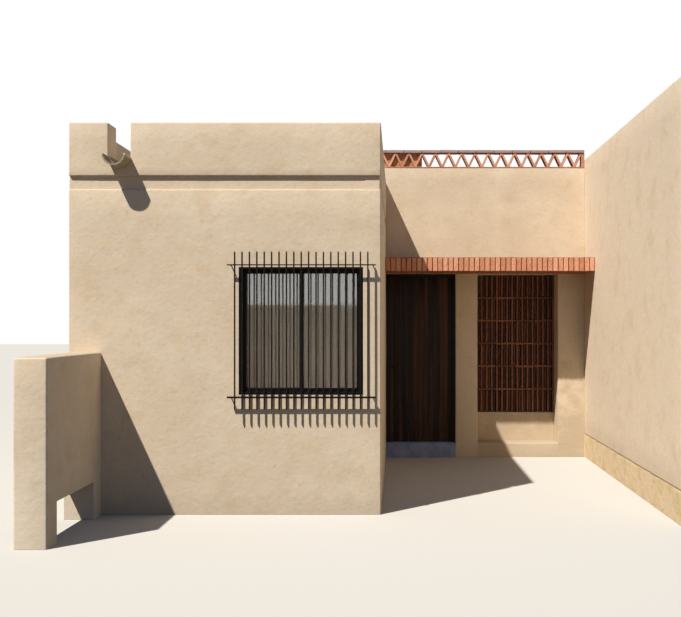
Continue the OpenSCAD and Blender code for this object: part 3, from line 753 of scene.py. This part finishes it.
def zigzagBricks():
    low, high = corners("parapet_lattice")
    start, end, thick = low[0] + latticeLook["start"], latticeLook["end"], latticeLook["thick"]
    rise, wash = high[2] - low[2], latticeLook["wash"]
    lean = (high[0] - end - start) / latticeLook["count"] / 2
    angle = math.atan2(lean, rise)
    length = rise / math.cos(angle) - thick * math.tan(angle) * 0.55
    n = np.arange(2 * latticeLook["count"])
    middle = (low + high) / 2
    centres = np.tile(middle, (n.size + 1, 1))
    centres[:-1, 0], centres[-1, 0] = start + (n + 0.5) * lean, high[0] - end / 2
    sizes = np.tile([thick, high[1] - low[1], length], (n.size + 1, 1))
    sizes[-1, [0, 2]] = end, rise
    turns = np.append(np.where(n % 2 == 0, -angle, angle), 0)
    brickPiece("zigzag_bricks", centres, sizes, turns, latticeLook["cut"], brick, "brick",
               ["parapet_lattice"], seed=11, loose=0.0012, wash=wash)
    # the thin brick course that the zigzag stands on, flush with the top of the wall
    foot = low[2] + courseLook["lift"]
    brickCourse("lattice_foot_bricks",
                np.array([low[0], low[1] - courseLook["front"], foot - courseLook["thick"]]),
                np.array([high[0], high[1] + courseLook["back"], foot]), courseLook,
                seed=13, loose=0.0004, shrink=0.005, wash=wash)
    # dabs of mortar in the angles where two bricks meet
    m = np.arange(2 * latticeLook["count"] + 1)
    across = np.clip(start + m * lean, low[0] + dabLook["left"], high[0] - dabLook["right"])
    height = np.where(m % 2 == 0, high[2] - dabLook["fromEdge"], low[2] + dabLook["fromEdge"])
    (wide, tall), back = dabLook["half"], dabLook["back"]
    dabs = [softBox((x - wide, low[1] + back, z - tall), (x + wide, high[1] - back, z + tall),
                    ["-x", "+x", "-y", "+y", "+z", "-z"], dabLook["radius"], 0.2, wavy=False)
            for x, z in zip(across, height)]
    placePiece("zigzag_mortar", *joinParts(dabs), mortar, "brick")


def capCourse():
    low, high = corners("lattice_cap")
    brickCourse("cap_bricks", low, high, capLook, replaced=["lattice_cap"], seed=5,
                loose=0.0012, wash=capLook["wash"])
    bed = softBox(low + [0.001, capLook["bedBack"], 0.003],
                  high - [0.001, capLook["bedBack"], 0.004], ["-y", "+y"], 0.002, 0.5,
                  wavy=False)
    placePiece("cap_mortar", *bed, mortar, "brick")


zigzagBricks()
capCourse()


# clay screen in the niche: rows of upright strips in two staggered layers, between flat strips

screenLook = {"rows": 6, "slats": 16, "slat": 0.022, "shelf": 0.025, "cut": 0.002, "layer": 0.35,
              "shelfParts": 4, "tuck": 0.006, "frontLitTone": 0.5, "backShadeTone": -0.5,
              "shelfTone": 0.3}


def nicheScreen():
    low, high = corners("niche_screen")
    wide, deep, tall = high - low
    rows, slats, slat = screenLook["rows"], screenLook["slats"], screenLook["slat"]
    rowHeight = tall / rows
    step = (wide - slat) / (slats - 1)
    i, j = np.meshgrid(np.arange(2 * slats - 1), np.arange(rows), indexing="ij")
    inFront = i.ravel() % 2 == 0
    layer, middle = deep * screenLook["layer"], (low[1] + high[1]) / 2
    upright = np.stack([low[0] + slat / 2 + i.ravel() * step / 2,
                        middle + layer * np.where(inFront, -0.5, 0.5),
                        low[2] + (j.ravel() + 0.5) * rowHeight], -1)
    uprightSize = np.tile([slat, layer, rowHeight - screenLook["shelf"] + screenLook["tuck"]],
                          (i.size, 1))
    k, m = np.meshgrid(np.arange(1, rows), np.arange(screenLook["shelfParts"]), indexing="ij")
    long = wide / screenLook["shelfParts"]
    flat = np.stack([low[0] + (m.ravel() + 0.5) * long, np.full(k.size, middle),
                     low[2] + k.ravel() * rowHeight], -1)
    flatSize = np.tile([long - 0.002, deep - 0.004, screenLook["shelf"]], (k.size, 1))
    # strips of the front layer are lighter and those of the back layer darker: painted light and
    # shade
    tones = np.append(np.where(inFront, screenLook["frontLitTone"], screenLook["backShadeTone"]),
                      np.full(k.size, screenLook["shelfTone"]))
    brickPiece("niche_screen_strips", np.concatenate([upright, flat]),
               np.concatenate([uprightSize, flatSize]), np.zeros(i.size + k.size),
               screenLook["cut"], clay, "clay_screen", ["niche_screen"], seed=3, loose=0.0015,
               tones=tones)


nicheScreen()
print("brickwork laid")


# plank door in its frame

doorLook = {"planks": 13, "joint": 0.004, "plank": 0.0135, "coreBack": 0.008, "edge": 0.0025,
            "frame": 0.042, "lap": 0.022, "clear": 0.006, "frameEdge": 0.004}


def plankDoor():
    # upright planks on both faces of a thin core
    low, high = corners("door_leaf")
    last = doorLook["planks"] - 1
    pitch = (high[0] - low[0]) / doorLook["planks"]
    parts, tones = [], []
    chance = np.random.default_rng(21)
    for n in range(doorLook["planks"]):
        a = low[0] + n * pitch + (doorLook["joint"] / 2 if n else 0)
        b = low[0] + (n + 1) * pitch - (doorLook["joint"] / 2 if n < last else 0)
        for front, back in ((low[1], low[1] + doorLook["plank"]),
                            (high[1] - doorLook["plank"], high[1])):
            part = softBox((a, front, low[2]), (b, back, high[2]),
                           ["-x", "+x", "-y", "+y", "+z", "-z"], doorLook["edge"], 0.7,
                           wavy=False)
            parts.append(part)
            tones.append(np.full(len(part[0]), chance.uniform(0, 1)))
    inset = np.array([0.002, doorLook["coreBack"], 0.002])
    core = softBox(low + inset, high - inset, ["-y"], 0.001, 0.7, wavy=False)
    parts.append(core)
    tones.append(np.zeros(len(core[0])))
    placePiece("door_planks", *joinParts(parts), plankWood, "door_wood", "door", ["door_leaf"],
               values={"tone": np.concatenate(tones)})


def doorFrame():
    # two jambs and a head, each a stop in front and a thinner part beside the leaf
    low, high = corners("door_frame")
    rebate = corners("door_leaf")[0][1] - doorLook["clear"]
    parts = []
    for wide, front, back, end in (
            (doorLook["frame"], low[1], rebate, "-y"),
            (doorLook["frame"] - doorLook["lap"], rebate, high[1], "+y")):
        under = high[2] - wide
        for first, second, side in (
                ((low[0], front, low[2]), (low[0] + wide, back, under), "+x"),
                ((high[0] - wide, front, low[2]), (high[0], back, under), "-x"),
                ((low[0], front, under), (high[0], back, high[2]), "-z")):
            parts.append(softBox(first, second, [side, end], doorLook["frameEdge"], 0.7,
                                 wavy=False))
    tones = np.concatenate([np.full(len(p[0]), 0.1 * n) for n, p in enumerate(parts)])
    placePiece("door_frame_timber", *joinParts(parts), frameWood, "door_frame_wood",
               replaced=["door_frame"], values={"tone": tones})


plankDoor()
doorFrame()


# windows: profiles carried round a rectangle with mitred corners

windowLook = {"frame": 0.024, "frameDeep": 0.09, "frameLip": 0.005, "sash": 0.032,
              "sashDeep": 0.028, "sashLip": 0.004, "edge": 0.0015}


def mitredRing(low, high, profile):
    # profile points (in from the edge, back from the face) carried round the four corners of
    # the rectangle: every corner takes the same profile, moved in along both directions
    reach = np.array([[1, 1], [-1, 1], [-1, -1], [1, -1]])
    corner = np.array([[low[0], low[2]], [high[0], low[2]], [high[0], high[2]],
                       [low[0], high[2]]])
    profile = np.array(profile)
    xz = corner[:, None, :] + reach[:, None, :] * profile[None, :, :1]
    y = np.broadcast_to(low[1] + profile[:, 1], xz.shape[:2])
    points = np.stack([xz[..., 0], y, xz[..., 1]], -1)
    return points.reshape(-1, 3), gridFaces(4, len(profile), (1, 1))


def ringPiece(name, boxes, part, node):
    # a box section with eased edges and a small step for the glazing bead, round each box
    wide, deep, lip = windowLook[part], windowLook[part + "Deep"], windowLook[part + "Lip"]
    e = windowLook["edge"]
    profile = [(0, e), (e, 0), (wide - lip - e, 0), (wide - lip, e), (wide - lip, lip),
               (wide - e, lip), (wide, lip + e), (wide, deep - e), (wide - e, deep), (e, deep),
               (0, deep - e)]
    rings = [mitredRing(low, high, profile) for low, high in boxes]
    placePiece(name, *joinParts(rings), aluminium, "window_metal", replaced=[node],
               turnedOut=True)


for node, part in (("window_frame", "frame"), ("left_sash", "sash"), ("right_sash", "sash"),
                   ("rear_window_frame", "frame")):
    ringPiece(node + "_section", [corners(node)], part, node)
# the two sashes of the rear window stand in one solid, one behind the other
low, high = corners("rear_sashes")
sashLow, sashHigh = corners("left_sash")
wide, deep = sashHigh[0] - sashLow[0], windowLook["sashDeep"]
ringPiece("rear_sash_sections",
          [((low[0], high[1] - deep, low[2]), (low[0] + wide, high[1], high[2])),
           ((high[0] - wide, low[1], low[2]), (high[0], low[1] + deep, high[2]))],
          "sash", "rear_sashes")


# curtain on its rod

curtainLook = {"folds": 15, "depth": 0.011, "thick": 0.0008, "ringRadius": 0.0135,
               "ringWire": 0.0013, "ringDrop": 0.01, "ringInset": 0.03}


def curtainSheet():
    # cloth over width u and height v: x runs along u, and y is a row of folds, a sine whose
    # phase drifts with u and whose depth grows slowly down the cloth
    low, high = corners("curtain")
    columns, rows = 361, 41
    u, v = np.meshgrid(np.linspace(0, 1, columns), np.linspace(0, 1, rows), indexing="ij")
    phase = 2 * math.pi * curtainLook["folds"] * (u + 0.012 * np.sin(9 * u + 0.6)
                                                  + 0.004 * np.sin(23 * u + 2 * v))
    depth = curtainLook["depth"] * (0.62 + 0.28 * v + 0.1 * np.sin(17 * u + 2.2 * v))
    x = low[0] + 0.002 + u * (high[0] - low[0] - 0.004) + 0.003 * np.sin(phase * 2) * v
    y = (low[1] + high[1]) / 2 + depth * np.sin(phase)
    z = high[2] - 0.001 - v * (high[2] - low[2] - 0.002)
    points = np.stack([x, y, z], -1)
    runs = np.linalg.norm(np.diff(points[:, rows // 2], axis=0), axis=1)
    cut = (float(runs.sum()), float(high[2] - low[2] - 0.002))
    piece = placePiece("sheer_curtain", points.reshape(-1, 3), gridFaces(columns, rows), cloth,
                       "curtain_cloth", replaced=["curtain"], turn=80)
    chart = piece.data.uv_layers.new(name="clothUV")
    where = np.stack([u.ravel() * cut[0], (1 - v.ravel()) * cut[1]], -1)
    loops = np.empty(len(piece.data.loops), np.int32)
    piece.data.loops.foreach_get("vertex_index", loops)
    chart.data.foreach_set("uv", where[loops].ravel().astype(np.float32))
    wall = piece.modifiers.new("thickness", "SOLIDIFY")
    wall.thickness, wall.offset = curtainLook["thick"], 0
    print("curtain cut", [round(side, 3) for side in cut])


def curtainRings():
    # rings round the rod: a circle of wire carried round a circle
    low, high = corners("curtain")
    rodLow, rodHigh = corners("curtain_rail")
    rodY, rodZ = (low[1] + high[1]) / 2, rodHigh[2] - curtainLook["ringDrop"]
    around, across = 20, 6
    a, b = np.meshgrid(np.linspace(0, 2 * math.pi, around, endpoint=False),
                       np.linspace(0, 2 * math.pi, across, endpoint=False), indexing="ij")
    wire, radius = curtainLook["ringWire"], curtainLook["ringRadius"]
    ring = np.stack([wire * np.sin(b), (radius + wire * np.cos(b)) * np.cos(a),
                     (radius + wire * np.cos(b)) * np.sin(a)], -1).reshape(-1, 3)
    inset = curtainLook["ringInset"]
    places = np.linspace(low[0] + inset, high[0] - inset, curtainLook["folds"] + 1)
    parts = [(ring + [x, rodY, rodZ], gridFaces(around, across, (1, 1))) for x in places]
    placePiece("curtain_rings", *joinParts(parts), hardware, "black_metal", turn=80)


curtainSheet()
curtainRings()
print("window and door made")


# half-round spout

spoutLook = {"wobble": 0.0015, "arc": 28, "stations": 12, "undersideShade": 0.8, "lap": 0.02,
             "mouth": (0.102, 0.087), "run": (0.090, 0.075)}


def spoutPipe():
    # half ring of points (outer arc, then inner arc back) carried along Y, with a slow wobble
    # of the radius; the street end is wider than the run through the notch
    low, high = corners("spout")
    centreX, centreZ = (low[0] + high[0]) / 2, high[2]
    face = corners("front_parapet")[0][1]
    points, stations = spoutLook["arc"], spoutLook["stations"]
    arc = np.linspace(math.pi, 2 * math.pi, points)
    n = 2 * points
    parts, filmsAndShade = [], []
    for start, stop, radii, bare in ((low[1], face, spoutLook["mouth"], 0.0),
                                     (face - spoutLook["lap"], high[1], spoutLook["run"], 1.0)):
        rows = []
        for radius, sweep in zip(radii, (arc, arc[::-1])):
            y, t = np.meshgrid(np.linspace(start, stop, stations), sweep, indexing="ij")
            r = radius + spoutLook["wobble"] * (np.sin(5 * t + 18 * y) * 0.6 - 0.4)
            rows.append(np.stack([centreX + r * np.cos(t), y, centreZ + r * np.sin(t)], -1))
        k = np.arange(points - 1)
        ends = np.concatenate([np.stack([k, k + 1, n - 2 - k, n - 1 - k], -1) + first
                               for first in (0, (stations - 1) * n)])
        parts.append((np.concatenate(rows, axis=1).reshape(-1, 3),
                      np.concatenate([gridFaces(stations, n, (0, 1)), ends])))
        # film share round the ring: the inside is filmed, and most of the mouth's outside, the
        # pipe's underside, takes the film as painted shade
        filmAndShade = np.full(n, bare)
        filmAndShade[points + 1:-1] = 1
        filmAndShade[2:points - 2] = spoutLook["undersideShade"]
        filmsAndShade.append(np.tile(filmAndShade, stations))
    placePiece("spout_pipe", *joinParts(parts), spoutClay, "spout_clay", replaced=["spout"],
               values={"film": np.concatenate(filmsAndShade)}, turnedOut=True)


spoutPipe()


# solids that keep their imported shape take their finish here

for material, dressed in ((screed, ("front_roof", "main_roof")),
                          (tile, ("front_floor", "main_floor")),
                          (concrete, ("door_step",)),
                          (iron, ("window_grille", "rear_grille")),
                          (hardware, ("door_handle", "door_hinges", "curtain_rail")),
                          (glass, ("left_pane", "right_pane", "rear_pane"))):
    for name in dressed:
        for place in nodes[name].material_slots:
            place.material = material
print("solids dressed")


# floor, light and camera

stageLook = {"floor": "#B9B6B0", "side": 60.0, "drop": 0.002,
             "ground": "#4A443C", "yard": "#7A7367", "far": 9.0, "farGround": "#76665A",
             "sunStrength": 6.2, "sunAngle": 0.8, "sunWay": (0.385, 0.389, -0.837),
             "sunColour": "#FFFAF2", "sky": "#A6C5F5", "skyStrength": 0.255,
             "streetTop": 1.1, "street": "#8D7C6C"}
rayNames = ("Is Camera Ray", "Is Glossy Ray", "Is Transmission Ray")


def paleFloor():
    # plain pale floor; the light that it throws back at the walls is that of bare ground, dark
    # before the block and paler before the entry, and so is what glass mirrors of it far off
    side, level = stageLook["side"], -stageLook["drop"]
    mesh = bpy.data.meshes.new("studio_floor")
    mesh.from_pydata([(-side, -side, level), (side, -side, level), (side, side, level),
                      (-side, side, level)], [], [[0, 1, 2, 3]])
    made, tree, where = newMaterial("paleStudioFloor", Roughness=1.0, Specular_IOR_Level=0.0)
    camera, glossy, through = [addNode(tree, "LightPath", give=name) for name in rayNames]
    x, y = [addNode(tree, "SeparateXYZ", {0: where}, give=n) for n in (0, 1)]
    inYard = addNode(tree, "Math", {0: x, 1: entryLow[0]}, operation="GREATER_THAN")
    near = addNode(tree, "Math", {0: y, 1: frontLow[1] - stageLook["far"]},
                   operation="GREATER_THAN")
    seen = addNode(tree, "Math", {0: glossy, 1: through}, operation="MAXIMUM")
    seen = addNode(tree, "Math", {0: seen, 1: near}, operation="MULTIPLY")
    seen = addNode(tree, "Math", {0: camera, 1: seen}, operation="MAXIMUM")
    ground = addNode(tree, "Mix", {0: inYard, 6: linearColour(stageLook["ground"]),
                                   7: linearColour(stageLook["yard"])}, **rgba)
    ground = addNode(tree, "Mix", {0: near, 6: linearColour(stageLook["farGround"]), 7: ground},
                     **rgba)
    colour = addNode(tree, "Mix", {0: seen, 6: ground, 7: linearColour(stageLook["floor"])},
                     **rgba)
    mesh.materials.append(connect(made, Base_Color=colour))
    floor = bpy.data.objects.new("studio_floor", mesh)
    scene.collection.objects.link(floor)


def lights():
    # one sun, a pale blue sky for the light, and a white one for what is seen
    sun = bpy.data.lights.new("key_light", "SUN")
    sun.energy = stageLook["sunStrength"]
    sun.angle = math.radians(stageLook["sunAngle"])
    sun.color = linearColour(stageLook["sunColour"])[:3]
    holder = bpy.data.objects.new("key_light", sun)
    holder.rotation_euler = Vector(stageLook["sunWay"]).to_track_quat("-Z", "Y").to_euler()
    scene.collection.objects.link(holder)
    scene.world = bpy.data.worlds.new("studio")
    scene.world.use_nodes = True
    tree = scene.world.node_tree
    tree.nodes.clear()
    camera, glossy, through = [addNode(tree, "LightPath", give=name) for name in rayNames]
    seen = addNode(tree, "Math", {0: camera, 1: glossy}, operation="MAXIMUM")
    seen = addNode(tree, "Math", {0: seen, 1: through}, operation="MAXIMUM")
    soft = addNode(tree, "Background", {"Color": linearColour(stageLook["sky"]),
                                        "Strength": stageLook["skyStrength"]})
    white = addNode(tree, "Background", {"Color": (1, 1, 1, 1), "Strength": 1.0})
    # glass and metal mirror a dull wall across the street, up to a low angle over the horizon
    way = addNode(tree, "TexCoord", give="Generated")
    rise = addNode(tree, "SeparateXYZ", {0: way}, give=2)
    under = addNode(tree, "Math", {0: rise, 1: math.sin(math.radians(stageLook["streetTop"]))},
                    operation="LESS_THAN")
    mirrored = addNode(tree, "Math", {0: under, 1: glossy}, operation="MULTIPLY")
    street = addNode(tree, "Background", {"Color": linearColour(stageLook["street"])})
    white = addNode(tree, "MixShader", {0: mirrored, 1: white, 2: street})
    both = addNode(tree, "MixShader", {0: seen, 1: soft, 2: white})
    addNode(tree, "OutputWorld", {0: both})


# a level view with the lens shifted, the shifts as parts of the picture's width of 681
cameraLook = {"x": 0.1515, "back": 8.0, "eye": 1.681, "lens": 48.32, "sensor": 36.0,
              "shiftX": -57.5 / 681, "shiftY": 14.0 / 681}


def viewer():
    lens = bpy.data.cameras.new("viewer")
    lens.sensor_width = cameraLook["sensor"]
    lens.lens = cameraLook["lens"]
    lens.shift_x, lens.shift_y = cameraLook["shiftX"], cameraLook["shiftY"]
    holder = bpy.data.objects.new("viewer", lens)
    holder.location = (cameraLook["x"], frontLow[1] - cameraLook["back"], cameraLook["eye"])
    holder.rotation_euler = (math.radians(90), 0, 0)
    scene.collection.objects.link(holder)
    scene.camera = holder


paleFloor()
lights()
viewer()
scene.view_settings.view_transform = "Standard"
print("scene ready")
